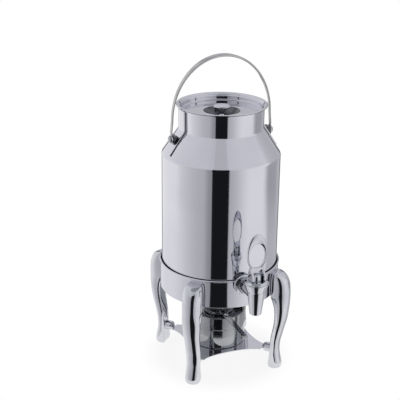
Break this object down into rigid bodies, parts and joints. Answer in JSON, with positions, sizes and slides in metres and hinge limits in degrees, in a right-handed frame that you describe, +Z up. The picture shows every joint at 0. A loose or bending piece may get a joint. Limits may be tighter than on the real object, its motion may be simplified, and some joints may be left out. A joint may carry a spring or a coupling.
{
  "type": "milk urn",
  "caption": "Churn-shaped steel drink urn with a carrying bail, a lift-off lid and a loop-lever tap, standing in a collar on cabriole legs over a small burner.",
  "frame": {"origin": "centre of the footprint's box, on the floor under the feet", "axes": "+Z up; the tap faces -Y; the bail's pivots lie along X, left strap at -X"},
  "size_m": [0.2084, 0.2792, 0.5485],
  "materials": {
    "polished_steel": "mirror-polished sheet steel",
    "cast_steel": "polished casting",
    "burner_steel": "bright drawn steel",
    "fastener_steel": "satin turned steel",
    "silicone": "matte food-grade silicone"
  },
  "bodies": {
    "stand": {"stand_collar": "polished_steel", "stand_plate": "polished_steel", "leg_front_left": "cast_steel", "leg_front_right": "cast_steel", "leg_back_right": "cast_steel", "leg_back_left": "cast_steel", "plate_screw_front_left": "fastener_steel", "plate_screw_front_right": "fastener_steel", "plate_screw_back_right": "fastener_steel", "plate_screw_back_left": "fastener_steel"},
    "urn": {"urn_wall": "polished_steel", "urn_bottom": "polished_steel", "strap_left": "polished_steel", "strap_right": "polished_steel", "pivot_block_left": "cast_steel", "pivot_block_right": "cast_steel", "pivot_cap_left": "fastener_steel", "pivot_cap_right": "fastener_steel", "tap_rose": "polished_steel", "tap_seal_outer": "silicone", "tap_seal_inner": "silicone", "tap_body": "cast_steel", "tap_bonnet": "polished_steel", "tap_locknut": "fastener_steel", "tap_backnut": "fastener_steel"},
    "lid": {"lid": "polished_steel", "lid_knob": "polished_steel", "lid_knob_screw": "fastener_steel"},
    "bail": {"bail": "polished_steel"},
    "tap_stem": {"tap_stem": "polished_steel", "tap_seat_cup": "silicone", "tap_lever_pin": "fastener_steel"},
    "tap_lever": {"tap_lever": "polished_steel"},
    "burner": {"burner_can": "burner_steel", "burner_cover": "burner_steel", "damper_rivet": "fastener_steel"},
    "damper": {"burner_damper": "burner_steel"}
  },
  "joints": [
    {"name": "urn_lift", "type": "slide", "parent": "stand", "child": "urn", "axis": [0, 0, 1], "range_m": [0, 0.08]},
    {"name": "lid_lift", "type": "slide", "parent": "urn", "child": "lid", "axis": [0, 0, 1], "range_m": [0, 0.022]},
    {"name": "bail_swing", "type": "hinge", "parent": "urn", "child": "bail", "pos_m": [0, 0.0354, 0.4135], "axis": [1, 0, 0], "range_deg": [-110, 110]},
    {"name": "tap_stem_lift", "type": "slide", "parent": "urn", "child": "tap_stem", "axis": [0, 0, 1], "range_m": [0, 0.004]},
    {"name": "tap_lever_tilt", "type": "hinge", "parent": "tap_stem", "child": "tap_lever", "pos_m": [0, -0.1196, 0.2214], "axis": [1, 0, 0], "range_deg": [0, 50], "stiffness_Nm_per_rad": 0.08},
    {"name": "burner_slide", "type": "slide", "parent": "stand", "child": "burner", "axis": [0, -1, 0], "range_m": [0, 0.15]},
    {"name": "damper_swing", "type": "hinge", "parent": "burner", "child": "damper", "pos_m": [0, -0.0016, 0.0934], "axis": [0, 0, 1], "range_deg": [0, 90]}
  ],
  "couplings": [
    {"joint": "tap_stem_lift", "follows": "tap_lever_tilt", "m_per_rad": 0.00458}
  ]
}
